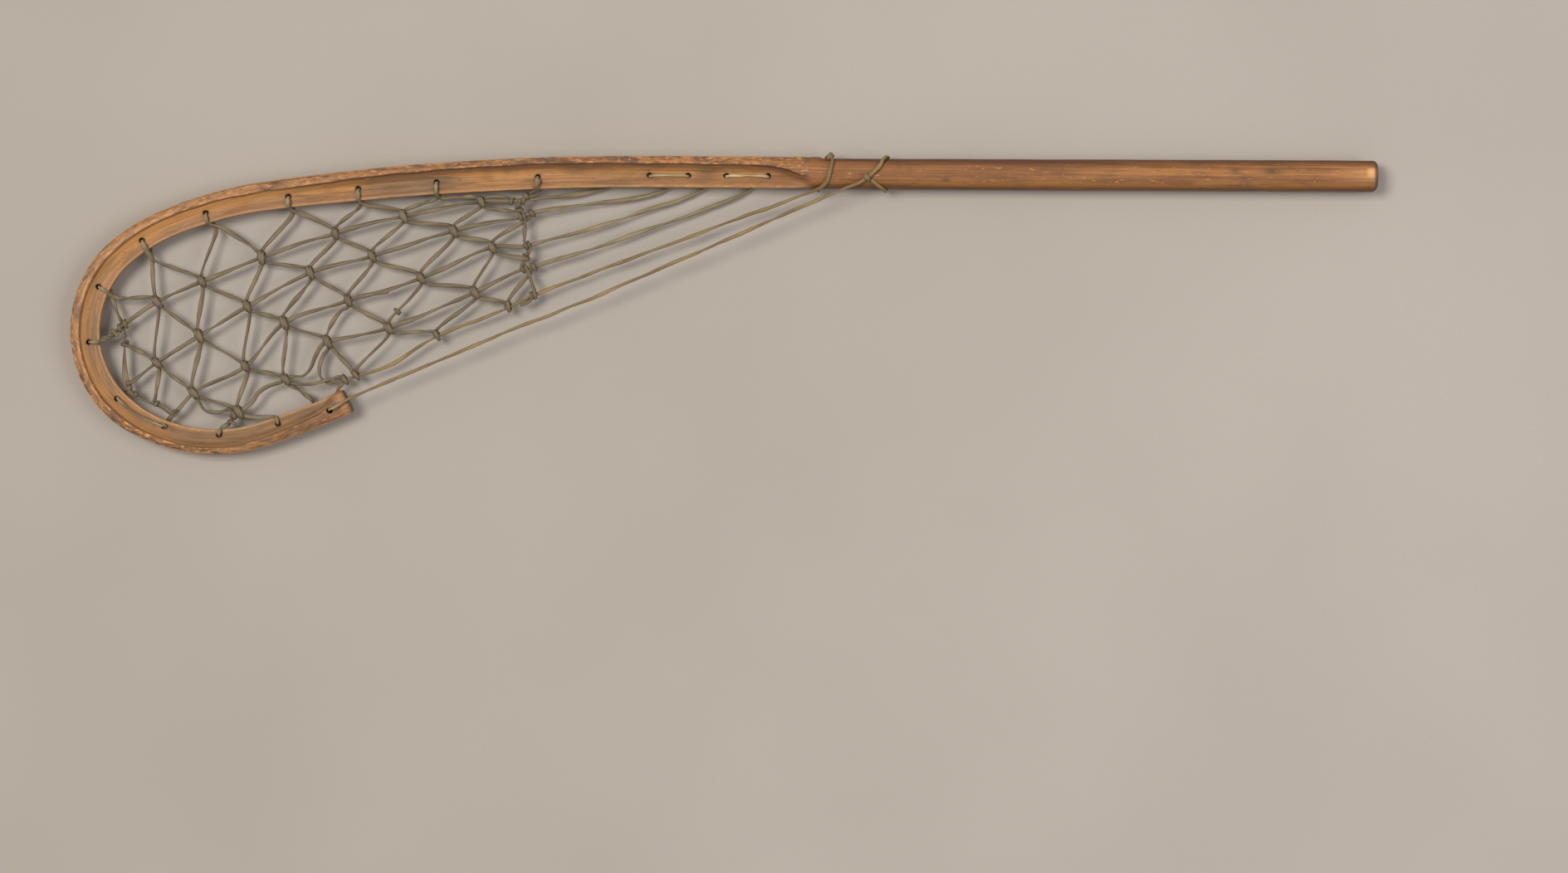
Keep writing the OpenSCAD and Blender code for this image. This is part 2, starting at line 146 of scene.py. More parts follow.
def slice_points(points, triangles, at, normal):
    """Segments in which a plane cuts a mesh, as an (n, 2, 3) array."""
    side = (points - at) @ normal
    side = np.where(np.abs(side) < 1e-9, 1e-9, side)
    above = side[triangles] > 0
    cut = triangles[above.any(1) & ~above.all(1)]
    segments = []
    for tri in cut:
        ends = []
        for a, b in ((tri[0], tri[1]), (tri[1], tri[2]), (tri[2], tri[0])):
            if (side[a] > 0) != (side[b] > 0):
                t = side[a] / (side[a] - side[b])
                ends.append(points[a] + t * (points[b] - points[a]))
        segments.append(ends)
    return np.array(segments).reshape(-1, 2, 3)


def section_at(points, triangles, at, heading):
    """The cut across the stave at a point of its path, as segments of (u, z) in metres."""
    along = np.array([math.cos(heading), math.sin(heading), 0])
    across = np.array([-math.sin(heading), math.cos(heading), 0])
    segments = slice_points(points, triangles, at, along)
    u = (segments - at) @ across
    near = np.abs(u).max(1) < 0.03
    return np.stack([u[near], segments[near][:, :, 2]], axis=-1)


def heights(section, u):
    """Top and bottom of a section at each u. Empty where a bore is cut."""
    a, b = section[:, 0], section[:, 1]
    low, high = np.minimum(a[:, 0], b[:, 0]), np.maximum(a[:, 0], b[:, 0])
    run = np.where(np.abs(b[:, 0] - a[:, 0]) < 1e-9, 1e-9, b[:, 0] - a[:, 0])
    t = (u[:, None] - a[None, :, 0]) / run[None, :]
    z = a[None, :, 1] + t * (b - a)[None, :, 1]
    hit = (u[:, None] >= low) & (u[:, None] < high)
    top = np.where(hit, z, -np.inf).max(1)
    bottom = np.where(hit, z, np.inf).min(1)
    return np.where(np.isfinite(top), top, np.nan), np.where(np.isfinite(bottom), bottom, np.nan)


def filled(values):
    """Gaps in a list of numbers filled in from their neighbours."""
    index = np.arange(len(values))
    good = np.isfinite(values)
    return np.interp(index, index[good], values[good])


def median_of(values, width):
    """Running median, which removes what a single bore does to a measurement."""
    half = width // 2
    padded = np.pad(values, half, "edge")
    return np.median(np.stack([padded[k : k + len(values)] for k in range(width)]), axis=0)


def walk_path(points, triangles):
    """The stave's middle line in plan, from the butt to the tip."""
    step = 4 * MM
    at, heading = np.array([-step, 0, 0]), math.pi
    path = [np.array([0.0, 0.0, 0.0]), at]
    while True:
        ahead = at + step * np.array([math.cos(heading), math.sin(heading), 0])
        section = section_at(points, triangles, ahead, heading)
        if not len(section):
            break
        u = section[..., 0]
        middle = (u.min() + u.max()) / 2
        at = ahead + middle * np.array([-math.sin(heading), math.cos(heading), 0])
        path.append(at)
        back = path[max(0, len(path) - 4)]
        heading = math.atan2(at[1] - back[1], at[0] - back[0])
        earlier = path[-2] - path[max(0, len(path) - 5)]
        heading += 0.5 * (heading - math.atan2(earlier[1], earlier[0]))
    along = np.array([math.cos(heading), math.sin(heading), 0])
    reach = (points[np.linalg.norm(points - at, axis=1) < 0.03] - at) @ along
    path.append(at + reach.max() * along)
    return np.array(path)


def resampled(path, step):
    """A path at an even step, and its arc lengths."""
    length = np.concatenate([[0], np.cumsum(np.linalg.norm(np.diff(path, axis=0), axis=1))])
    s = np.linspace(0, length[-1], max(2, int(round(length[-1] / step))) + 1)
    return np.stack([np.interp(s, length, path[:, k]) for k in range(3)], axis=1), s


stave_points, stave_faces = welded(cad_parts["stave"])
stave_triangles = np.array([f for f in stave_faces if len(f) == 3])
SLICE = 2 * MM

rough_path = walk_path(stave_points, stave_triangles)
path, path_s = resampled(rough_path, SLICE)
path = blur(path, 5)
path[:, 2] = 0
path, path_s = resampled(path, SLICE)
tangents = unit(np.gradient(path, axis=0))
headings = np.unwrap(np.arctan2(tangents[:, 1], tangents[:, 0]))
STAVE_LENGTH = path_s[-1]

# Sizes of each section: both half widths, lip, ledge, back and the place of the step
PROBES = np.linspace(-0.0155, 0.0155, 125)
RUN_OUT = 26 * MM
measured = []
for k in range(len(path)):
    section = section_at(stave_points, stave_triangles, path[k], headings[k])
    if path_s[k] < 3 * MM or path_s[k] > STAVE_LENGTH - 3 * MM or not len(section):
        measured.append([np.nan] * 6)
        continue
    u = section[..., 0]
    top, bottom = heights(section, PROBES)
    slope = np.gradient(top, PROBES)
    # The ledge runs out into a corner before the tip, so there its step lies further across
    at_tip = path_s[k] > STAVE_LENGTH - RUN_OUT
    probe_end, floor_from, floor_to = (0.8, 0.7, 0.84) if at_tip else (0.45, 0.45, 0.65)
    inner = (PROBES > u.min() + 3 * MM) & (PROBES < probe_end * u.max()) & np.isfinite(slope)
    step_at = PROBES[inner][np.argmin(slope[inner])]
    floor_part = (PROBES > floor_from * u.max()) & (PROBES < floor_to * u.max()) & np.isfinite(top)
    floor = top[floor_part].min() if floor_part.any() else np.nan
    lip = np.nanmax(top)
    if lip - floor < 1.6 * MM:
        step_at = np.nan
    measured.append([-u.min(), u.max(), lip, floor, -np.nanmin(bottom), step_at])
outer_w, net_w, lip_z, floor_z, back_z, step_u = (filled(np.array(c)) for c in zip(*measured))
outer_w, net_w = blur(outer_w, 0.8), blur(net_w, 1.5)
lip_z, back_z = blur(median_of(lip_z, 7), 4), blur(median_of(back_z, 7), 5)
near_tip = smoothstep(STAVE_LENGTH - RUN_OUT, STAVE_LENGTH - RUN_OUT + 8 * MM, path_s)
floor_z = (1 - near_tip) * blur(median_of(floor_z, 7), 3) + near_tip * blur(floor_z, 0.7)
step_u = (1 - near_tip) * blur(median_of(step_u, 7), 3) + near_tip * blur(step_u, 0.9)


def bores(points, triangles, height):
    """Plan position of each lacing hole: the small loops in a level cut."""
    segments = slice_points(points, triangles, np.array([0, 0, height]), np.array([0.0, 0, 1]))
    ends = np.round(segments[:, :, :2], 5)
    group = {}

    def root(key):
        while group[key] != key:
            key = group[key]
        return key

    for a, b in ends:
        a, b = tuple(a), tuple(b)
        group.setdefault(a, a)
        group.setdefault(b, b)
        group[root(a)] = root(b)
    loops = {}
    for key in group:
        loops.setdefault(root(key), []).append(key)
    centres = []
    for keys in loops.values():
        keys = np.array(keys)
        if np.ptp(keys, axis=0).max() < 8 * MM and len(keys) > 8:
            centres.append((keys.min(0) + keys.max(0)) / 2)
    return np.array(centres)


hole_places = bores(stave_points, stave_triangles, -2 * MM)
path_index = [int(np.linalg.norm(path[:, :2] - h, axis=1).argmin()) for h in hole_places]
order = np.argsort(path_index)
hole_places = hole_places[order]
hole_s = path_s[np.array(path_index)[order]]


# ---------- the stave, rebuilt ----------

RING_STEP = 1.9 * MM
HEAD_FROM, HEAD_FULL = 0.545, 0.575
FACE_POWER, LEDGE_POWER, BACK_POWER = 2.7, 9, 0.62
HOLE_RADIUS = 2.15 * MM
LIP_POINTS, STEP_POINTS, LEDGE_POINTS, BACK_POINTS = 20, 9, 29, 34
ROUND_BUTT, ROUND_TIP = 5 * MM, 2.5 * MM


def end_rounding(s):
    """How far each section shrinks within the rounded ends."""
    butt = np.clip(1 - s / ROUND_BUTT, 0, 1)
    tip = np.clip(1 - (STAVE_LENGTH - s) / ROUND_TIP, 0, 1)
    return ROUND_BUTT * (1 - np.sqrt(1 - butt**2)) + ROUND_TIP * (1 - np.sqrt(1 - tip**2))


def stave_rings():
    """Rings of points round the stave from butt to tip, and the middle of each end."""
    fine = np.array([0, 0.1, 0.35, 0.8, 1.4, 2.2, 3.1, 4.0, 5.0]) * MM
    body = np.arange(ROUND_BUTT + RING_STEP, STAVE_LENGTH - ROUND_TIP - RING_STEP / 2, RING_STEP)
    ending = STAVE_LENGTH - np.array([2.5, 1.7, 1.0, 0.5, 0.15, 0]) * MM
    s = np.concatenate([fine, body, ending])
    o, n, lip, floor, back, step = (
        np.interp(s, path_s, v) for v in (outer_w, net_w, lip_z, floor_z, back_z, step_u)
    )
    head = smoothstep(HEAD_FROM, HEAD_FULL, s)
    hollow = smoothstep(1.5 * MM, 3.6 * MM, lip - floor)
    # Hand work: wavering edges, small chips along the lip, shallow cuts in the ledge
    chips = np.clip(wobble(s, 1, 3.6 * MM) - 0.35, 0, 1)
    chips = chips + np.clip(wobble(s, 2, 13 * MM) - 0.5, 0, 1)
    o = o - head * (0.2 * MM * chips) + 0.12 * MM * wobble(s, 3, 30 * MM)
    nicks = np.clip(wobble(s, 4, 6 * MM) - 0.55, 0, 1)
    n = n - 0.4 * MM * nicks * head + 0.15 * MM * wobble(s, 5, 35 * MM)
    step = step + hollow * (0.3 * MM * wobble(s, 6, 30 * MM) + 0.1 * MM * wobble(s, 7, 8 * MM))
    lip = lip + 0.15 * MM * wobble(s, 8, 28 * MM) * head
    floor = floor + 0.2 * MM * wobble(s, 9, 24 * MM) * hollow

    def face(u):
        q = np.clip(np.where(u < 0, -u / o[:, None], u / n[:, None]), 0, 1)
        return lip[:, None] * (1 - q**FACE_POWER) ** (1 / FACE_POWER)

    low, foot = step - 1.0 * MM, step + 1.5 * MM
    q = np.linspace(0, 1, LIP_POINTS, endpoint=False) ** 1.7
    u_lip = -o[:, None] + (low + o)[:, None] * q
    q = np.linspace(0, 1, STEP_POINTS, endpoint=False)
    u_step = low[:, None] + (foot - low)[:, None] * q
    q = 1 - (1 - np.linspace(0, 1, LEDGE_POINTS, endpoint=False)) ** 1.6
    u_ledge = foot[:, None] + (n - foot)[:, None] * q
    u_top = np.hstack([u_lip, u_step, u_ledge])

    top = face(u_top)
    share = np.clip(u_top / n[:, None], 0, 1)
    fillet = 2.4 * MM * bell(np.maximum(u_top - foot[:, None], 0), 3.4 * MM)
    hollowing = -0.35 * MM * np.sin(np.pi * np.clip((u_top - foot[:, None]) / (n - foot)[:, None], 0, 1))
    ledge = (floor[:, None] + fillet + hollowing) * (1 - share**LEDGE_POWER) ** (1 / LEDGE_POWER)
    # Tool marks: noise on every third point each way, repeated to its neighbours
    tool = np.array(
        [[noise.noise((a * 38, b * 900, 3.1)) for b in row[::3]] for a, row in zip(s[::3], u_top[::3])]
    )
    tool = np.repeat(np.repeat(tool, 3, axis=0)[: len(s)], 3, axis=1)[:, : u_top.shape[1]]
    ledge = ledge + 0.12 * MM * tool * (1 - share**6)
    cut = hollow[:, None] * smoothstep(low[:, None], foot[:, None], u_top)
    top = top + cut * (np.minimum(top, ledge) - top)

    angle = np.linspace(0, np.pi, BACK_POINTS)
    swing = np.cos(angle)
    half_width = np.where(swing > 0, n[:, None], o[:, None])
    u_back = half_width * np.sign(swing) * np.abs(swing) ** BACK_POWER
    z_back = -back[:, None] * np.abs(np.sin(angle)) ** BACK_POWER
    u = np.hstack([u_top, u_back])
    z = np.hstack([top, z_back])
    keep = (1 - end_rounding(s) / (11 * MM))[:, None]
    u, z = u * keep, z * keep
    at = np.stack([np.interp(s, path_s, path[:, k]) for k in range(2)], axis=1)
    h = np.interp(s, path_s, headings)
    x = at[:, :1] - u * np.sin(h)[:, None]
    y = at[:, 1:] + u * np.cos(h)[:, None]
    middles = np.array([[*at[0], z[0].mean()], [*at[-1], z[-1].mean()]])
    return np.stack([x, y, z], axis=-1), middles


def drill(obj):
    """Cuts the stave's lacing holes, each a little wider at its mouths and not quite round."""
    verts, faces = [], []
    around, reach = 20, 16 * MM
    levels = [-reach, -9 * MM, -6 * MM, 0, 4 * MM, 8 * MM, reach]
    flare = [1.5, 1.12, 1.0, 1.0, 1.1, 1.3, 1.7]
    for k, (x, y) in enumerate(hole_places):
        h = np.interp(hole_s[k], path_s, headings)
        base = len(verts)
        for level, wide in zip(levels, flare):
            for j in range(around):
                a = 2 * math.pi * j / around
                r = HOLE_RADIUS * wide * (1 + 0.08 * math.sin(2 * a + k) + 0.05 * math.sin(3 * a + 2 * k))
                long, short = r * 1.12 * math.cos(a), r * math.sin(a)
                verts.append((x + long * math.cos(h) - short * math.sin(h),
                              y + long * math.sin(h) + short * math.cos(h), level))
        for i in range(len(levels) - 1):
            for j in range(around):
                a, b = base + i * around + j, base + i * around + (j + 1) % around
                faces.append([a, b, b + around, a + around])
        faces.append([base + j for j in range(around - 1, -1, -1)])
        faces.append([base + (len(levels) - 1) * around + j for j in range(around)])
    cutter = new_object("hole_cutter", verts, faces)
    modifier = obj.modifiers.new("holes", "BOOLEAN")
    modifier.operation, modifier.solver, modifier.object = "DIFFERENCE", "EXACT", cutter
    graph = bpy.context.evaluated_depsgraph_get()
    mesh = bpy.data.meshes.new_from_object(obj.evaluated_get(graph))
    obj.modifiers.clear()
    obj.data = mesh
    bpy.data.objects.remove(cutter)


def path_coordinates(points):
    """(s, u) of each point beside the stave's path."""
    s = np.empty(len(points))
    u = np.empty(len(points))
    for start in range(0, len(points), 4000):
        part = points[start : start + 4000, :2]
        k = ((part[:, None] - path[None, :, :2]) ** 2).sum(-1).argmin(1)
        d = part - path[k, :2]
        h = headings[k]
        s[start : start + 4000] = path_s[k] + d[:, 0] * np.cos(h) + d[:, 1] * np.sin(h)
        u[start : start + 4000] = -d[:, 0] * np.sin(h) + d[:, 1] * np.cos(h)
    return s, u


rings, middles = stave_rings()
around = rings.shape[1]
stave = new_object(
    "stave_wood",
    np.vstack([rings.reshape(-1, 3), middles]),
    [f[::-1] for f in tube_faces(len(rings), around)],
)
drill(stave)


# ---------- thongs ----------

STRAND_STEP = 0.8 * MM
AROUND = 12
# How the CAD cords turn round one another: straight sides of each turn, sides of a full bight, radius
TURN_SIDE = (2.2 * MM, 2.75 * MM)
BIGHT_SIDES = 6
TURN_RADIUS = 3.1 * MM
# Strip width and thickness, and the half twists that a long free stretch may take
STRIPS = {
    "lead": (4.5 * MM, 2.8 * MM, (-1, 0, 0, 1)),
    "lace": (4.4 * MM, 2.7 * MM, (-1, -1, 0, 1, 1)),
    "outer": (3.6 * MM, 2.6 * MM, (0, 0, 1)),
    "edge": (5.2 * MM, 2.0 * MM, (0, 1)),
}


def ring_centres(node):
    """The middle line of a thong's CAD node: the centre of each of its rings, from one end to the other."""
    points, faces = welded(node)
    near = [set() for _ in points]
    for face in faces:
        for a in face:
            near[a].update(face)

    def levels(start):
        seen, out = set(start), [sorted(start)]
        while True:
            following = set().union(*(near[v] for v in out[-1])) - seen
            if not following:
                return out
            out.append(sorted(following))
            seen |= following

    # Six vertices make a ring. The one furthest from any start is on an end ring.
    far = levels([0])[-1][0]
    close = [v for level in levels([far])[:4] for v in level]
    close.sort(key=lambda v: np.linalg.norm(points[v] - points[far]))
    return np.array([points[ring].mean(0) for ring in levels(close[:6])])


def turns_of(centres):
    """Runs of rings that go round another thong, as (first, last) indices."""
    length = np.linalg.norm(np.diff(centres, axis=0), axis=1)
    t = np.diff(centres, axis=0) / length[:, None]
    bend = np.degrees(np.arccos(np.clip((t[1:] * t[:-1]).sum(1), -1, 1)))
    short = (length > TURN_SIDE[0]) & (length < TURN_SIDE[1])
    runs, start = [], None
    for k in range(len(length) + 1):
        inside = k < len(length) and short[k] and (start is None or bend[k - 1] > 25)
        if inside and start is None:
            start = k
        elif not inside and start is not None:
            if k - start >= 5:
                runs.append((start, k))
            start = k if k < len(length) and short[k] else None
    return runs


def bight_frame(centres, first, last):
    """Centre of a bight, and the way its legs leave."""
    middle = (first + last) // 2
    low = centres[middle]
    inward = unit((centres[middle - 1] + centres[middle + 1]) / 2 - low)
    centre = low + TURN_RADIUS * inward
    axis = unit(centres[last] - centres[first])
    axis[2] = 0
    opening = unit(np.array([-axis[1], axis[0], 0]) * np.sign(np.cross(axis, inward)[2] + 1e-9))
    return centre, opening


def curve_through(points, step):
    """Centripetal Catmull-Rom curve through points, at an even step."""
    points = np.vstack([2 * points[0] - points[1], points, 2 * points[-1] - points[-2]])
    out = []
    for k in range(1, len(points) - 2):
        p0, p1, p2, p3 = points[k - 1 : k + 3]
        t1 = np.sqrt(np.linalg.norm(p1 - p0)) + 1e-6
        t2 = t1 + np.sqrt(np.linalg.norm(p2 - p1)) + 1e-6
        t3 = t2 + np.sqrt(np.linalg.norm(p3 - p2)) + 1e-6
        count = max(2, int(np.linalg.norm(p2 - p1) / (0.4 * step)))
        t = np.linspace(t1, t2, count, endpoint=False)[:, None]
        a1 = (t1 - t) / t1 * p0 + t / t1 * p1
        a2 = (t2 - t) / (t2 - t1) * p1 + (t - t1) / (t2 - t1) * p2
        a3 = (t3 - t) / (t3 - t2) * p2 + (t - t2) / (t3 - t2) * p3
        b1 = (t2 - t) / t2 * a1 + t / t2 * a2
        b2 = (t3 - t) / (t3 - t1) * a2 + (t - t1) / (t3 - t1) * a3
        out.append((t2 - t) / (t2 - t1) * b1 + (t - t1) / (t2 - t1) * b2)
    curve = np.vstack(out + [points[-2][None]])
    return resampled(curve, step)


def carried_frame(points):
    """Tangents and a side vector carried along without twist."""
    t = unit(np.gradient(points, axis=0))
    side = np.empty_like(t)
    v = np.cross(t[0], [0.31, 0.17, 0.94])
    for k in range(len(t)):
        v = v - (v @ t[k]) * t[k]
        v = v / np.linalg.norm(v)
        side[k] = v
    return t, side


def twist_angles(points, t, side, half_twists, random):
    """Angle of the strip's thin way, which faces into each bend, and how tightly each point is bent."""
    other = np.cross(t, side)
    bend = blur(np.gradient(t, axis=0), 2) / STRAND_STEP
    size = np.linalg.norm(bend, axis=1)
    towards = np.arctan2((bend * other).sum(1), (bend * side).sum(1))
    tight = size > 1 / (11 * MM)
    anchors, values = [], []
    k = 0
    while k < len(points):
        if not tight[k]:
            k += 1
            continue
        end = k
        while end < len(points) and tight[end]:
            end += 1
        run = np.unwrap(2 * towards[k:end]) / 2
        if len(run) > 5:
            run = blur(run, 2)
        if values:
            gap = (k - anchors[-1]) * STRAND_STEP
            extra = random.choice(half_twists) * np.pi if gap > 14 * MM else 0
            if gap > 90 * MM:
                extra = random.choice([-2, 2]) * np.pi * gap / (150 * MM)
            wanted = values[-1] + extra
            run = run + np.pi * np.round((wanted - run[0]) / np.pi)
        anchors.extend(range(k, end))
        values.extend(run)
        k = end
    if not anchors:
        anchors, values = [0, len(points) - 1], [0, np.pi * len(points) * STRAND_STEP / (60 * MM)]
    angle = np.interp(np.arange(len(points)), anchors, values)
    return blur(angle, 3), np.clip(size * 4.5 * MM, 0, 1)


def laid_down(points):
    """Stitches along the ledge lie flat on it. Gives the points and how far each one is flattened."""
    s, u = path_coordinates(points)
    laid = np.zeros(len(points))
    for first, last in zip(hole_s[:-1], hole_s[1:]):
        gap = last - first
        if gap < 60 * MM:
            laid += smoothstep(first, first + 4 * MM, s) * smoothstep(last, last - 4 * MM, s)
    laid *= (np.abs(u) < 9 * MM) & (points[:, 2] > 1 * MM)
    return points - 0.95 * MM * laid[:, None] * np.array([0, 0, 1.0]), laid


def seated(points):
    """A thong leans on the net side of a hole's mouth. Gives the points and how far each one leans."""
    gaps = np.linalg.norm(points[:, None, :2] - hole_places[None], axis=2)
    heading = np.interp(hole_s, path_s, headings)[gaps.argmin(1)]
    lean = bell(gaps.min(1), 2.8 * MM) * smoothstep(-4 * MM, 1 * MM, points[:, 2])
    net_way = np.stack([-np.sin(heading), np.cos(heading), 0 * heading], axis=1)
    return points + 0.9 * MM * lean[:, None] * net_way, lean


def strip(points, kind, seed, slack=1.0):
    """Points, faces and surface data of a twisted, grooved strip of hide along a curve."""
    random = np.random.default_rng(seed)
    wide, thick, half_twists = STRIPS[kind]
    points, laid = laid_down(points)
    points, lean = seated(points)
    t, side = carried_frame(points)
    angle, press = twist_angles(points, t, side, half_twists, random)
    press = blur(press, 2)
    thin_way = np.cos(angle)[:, None] * side + np.sin(angle)[:, None] * np.cross(t, side)
    wide_way = np.cross(t, thin_way)
    s = np.arange(len(points)) * STRAND_STEP
    w = wide / 2 * slack * (1 + 0.15 * wobble(s, seed, 17 * MM) + 0.07 * wobble(s, seed + 50, 4 * MM))
    h = thick / 2 * (1 + 0.16 * wobble(s, seed + 90, 11 * MM))
    w, h = w * (1 - 0.14 * press), h * (1 + 0.1 * press)
    w, h = w * (1 - 0.36 * laid), h * (1 - 0.45 * laid)
    w, h = w * (1 - 0.28 * lean), h * (1 - 0.12 * lean)
    blunt = np.sqrt(np.clip(np.minimum(s, s[-1] - s) / (1.2 * MM), 0.12, 1))
    w, h = w * blunt, h * blunt
    a = 2 * np.pi * np.arange(AROUND) / AROUND
    x = np.sign(np.cos(a)) * np.abs(np.cos(a)) ** 0.8
    y = np.sin(a)
    groove = 0.34 * bell(x, 0.3) * (y > 0) + 0.12 * bell(x - 0.2, 0.25) * (y < 0)
    depth = (0.6 + 0.5 * wobble(s, seed + 140, 9 * MM))[:, None] * (1 - 0.5 * press)[:, None]
    y = y * (1 - depth * groove)
    curl = 0.22 * h[:, None] * x**2
    across = w[:, None] * x
    up = h[:, None] * y - curl
    ring = points[:, None] + across[..., None] * wide_way[:, None] + up[..., None] * thin_way[:, None]
    along = np.repeat(s[:, None], AROUND, 1) + seed * 0.37
    fibre = np.stack([along, across, y * MM], axis=-1)
    # Painted shade mask: dark in the groove and towards the strip's edges
    crease_shade = depth * groove * 2 + 0.55 * np.abs(x) ** 5
    faces = [f[::-1] for f in tube_faces(len(ring), AROUND)]
    points_out = np.vstack([ring.reshape(-1, 3), points[0], points[-1]])
    fibre_out = np.vstack([fibre.reshape(-1, 3), fibre[0, 0], fibre[-1, 0]])
    # Stored for the material: bend tightness and the crease mask, both painted as shade
    data = np.stack([np.repeat(press, AROUND), crease_shade.ravel()], axis=-1)
    data = np.vstack([data, [[0.6, 0.6], [0.6, 0.6]]])
    return points_out, faces, fibre_out, data


def eased(points):
    """Rounds the elbows that a thong makes in plan where it leaves the inner rim."""
    s, u = path_coordinates(points)
    past_rim = u - np.interp(s, path_s, net_w)
    share = smoothstep(-1 * MM, 1.5 * MM, past_rim) * smoothstep(13 * MM, 6 * MM, past_rim)
    out = points.copy()
    out[:, :2] += share[:, None] * (blur(points[:, :2], 7) - points[:, :2])
    return out


def swayed(points):
    """Moves thongs together by a gentle field, so that no stretch is quite straight. Still at the wood."""
    u = path_coordinates(points)[1]
    free = smoothstep(15 * MM, 34 * MM, np.abs(u))
    out = points.copy()
    for axis, size in ((0, 0.7), (1, 0.9), (2, 0.9)):
        field = [noise.noise((p[0] / 0.034, p[1] / 0.034, 4.7 * axis + 2)) for p in points]
        out[:, axis] += size * MM * free * np.array(field)
    return out


def leg_point(end, centre, opening):
    """A point on a bight's leg, drawn in towards the other leg before they part."""
    point = centre + 5.0 * MM * opening + 0.55 * (end - centre) * [1, 1, 0.55]
    return point - 0.55 * ((end - centre) @ opening) * opening


def with_legs(centres, bights):
    """Adds points that draw a bight's two legs together before they part, as a knot does."""
    out, place = [], 0
    for first, last, centre, opening in bights:
        out.extend(centres[place:first])
        out.append(leg_point(centres[first], centre, opening))
        out.extend(centres[first : last + 1])
        out.append(leg_point(centres[last], centre, opening))
        place = last + 1
    out.extend(centres[place:])
    return np.array(out)


def wrap(centre, across, out, lift, spread, turns, stagger=0.0):
    """Middle line of a strip wound round a knot or a strand, in flat turns side by side."""
    a = np.linspace(-np.pi / 2, (2 * turns - 0.5) * np.pi, int(12 * turns) + 1)
    along = np.array([-across[1], across[0], 0])
    place = spread * (np.linspace(-0.5, 0.5, len(a)) + 0.04 * np.sin(3 * a))
    far = out * np.sign(np.cos(a)) * np.abs(np.cos(a)) ** 0.75 + stagger * np.linspace(-1, 1, len(a))
    up = lift * np.sign(np.sin(a)) * np.abs(np.sin(a)) ** 0.75
    points = centre + far[:, None] * across + place[:, None] * along + up[:, None] * [0, 0, 1.0]
    return curve_through(points, STRAND_STEP)[0]


def detail(curve, place, form, seed):
    """A small feature of a thong near a place: a wrap about it, a second ply beside it, or a torn flap."""
    k = int(np.linalg.norm(curve - place, axis=1).argmin())
    ahead = unit(curve[min(k + 4, len(curve) - 1)] - curve[max(k - 4, 0)]) * [1, 1, 0]
    across = unit(np.array([-ahead[1], ahead[0], 0]))
    if form == "wrap":
        turns = wrap(curve[k], across, 2.7 * MM, 2.9 * MM, 2.2 * MM, 1.6)
        return strip(swayed(turns), "lace", seed, 0.95)
    if form == "flap":
        run = curve[k - 9 : k + 10]
        away = np.linspace(2.6, 0.4, len(run))[:, None] * MM * across + [0, 0, 0.9 * MM]
        return strip(swayed(run + away), "lace", seed, 0.75)
    run = curve[max(k - 13, 0) : k + 14]
    t, side = carried_frame(run)
    a = np.linspace(0.3, 2.6 * np.pi, len(run))[:, None]
    spiral = run + 2.2 * MM * (np.cos(a) * side + np.sin(a) * np.cross(t, side))
    return strip(swayed(spiral), "lace", seed, 0.75)


# Small features of single thongs: place in millimetres, and form
EXTRAS = {
    "upper_lead_thong": [((-1229, -156, 3), "ply")],
    "lower_lead_thong": [((-962, -114, -3), "flap"), ((-1171, -249, 5), "ply")],
    "lacing_row_4": [((-947, -133, -3), "wrap")],
    "outer_lead_thong": [((-493, -4, 14), "wrap"), ((-533, 15, 8), "wrap")],
    "end_thong": [((-811, -9, 3), "ply"), ((-824, -20, -3), "wrap")],
}

# Strip and material of each thong. The lacing rows, which aren't listed, are ("lace", "hide").
KINDS = {
    "upper_lead_thong": ("lead", "hide"),
    "lower_lead_thong": ("lead", "hide"),
    "outer_lead_thong": ("outer", "pale_hide"),
    "edge_thong": ("edge", "hide"),
    "end_thong": ("lace", "hide"),
}
thong_names = sorted(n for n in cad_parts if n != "stave")
lines, bights = {}, {}
for name in thong_names:
    centres = ring_centres(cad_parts[name])
    bights[name] = []
    if name.startswith("lacing_row"):
        for first, last in turns_of(centres):
            if last - first == BIGHT_SIDES:
                bights[name].append((first, last, *bight_frame(centres, first, last)))
    lines[name] = with_legs(centres, bights[name])

# A knot is a place where two rows' bights meet on a lead. The first row's mesh carries its band.
knots = []
for name in thong_names:
    for first, last, centre, opening in bights[name]:
        for knot in knots:
            if np.linalg.norm(knot["centre"] - centre) < 3.5 * MM:
                knot["count"] += 1
                break
        else:
            knots.append({"row": name, "centre": centre, "opening": opening, "count": 1})


def knot_band(knot, number, index):
    """The flat turns that bind a knot. They lie a little askew, some tighter than others."""
    turn = math.radians(14) * math.sin(5.1 * number + index)
    o = knot["opening"]
    across = np.array([o[0] * math.cos(turn) - o[1] * math.sin(turn),
                       o[0] * math.sin(turn) + o[1] * math.cos(turn), 0])
    loose = 1 + 0.1 * math.sin(3.3 * number + 2 * index)
    if knot["count"] > 1:
        band = wrap(knot["centre"], across, 5.5 * MM * loose, 4.5 * MM, 4.0 * MM * loose, 2.0, 1.7 * MM)
    else:
        band = wrap(knot["centre"] + 1.2 * MM * o, across, 4.6 * MM * loose, 3.9 * MM, 2.4 * MM, 1.3)
    return strip(swayed(band), "lace", 200 + 10 * index + number, slack=0.88)


def thong_parts(name, kind, index):
    """The strips that make one thong: its own length, the bands of its knots, and its small features."""
    curve = eased(curve_through(lines[name], STRAND_STEP)[0])
    parts = [strip(swayed(curve), kind, 11 + index)]
    for number, knot in enumerate(knots):
        if knot["row"] == name:
            parts.append(knot_band(knot, number, index))
    for place, form in EXTRAS.get(name, ()):
        parts.append(detail(curve, np.array(place) * MM, form, 600 + len(parts)))
    return parts


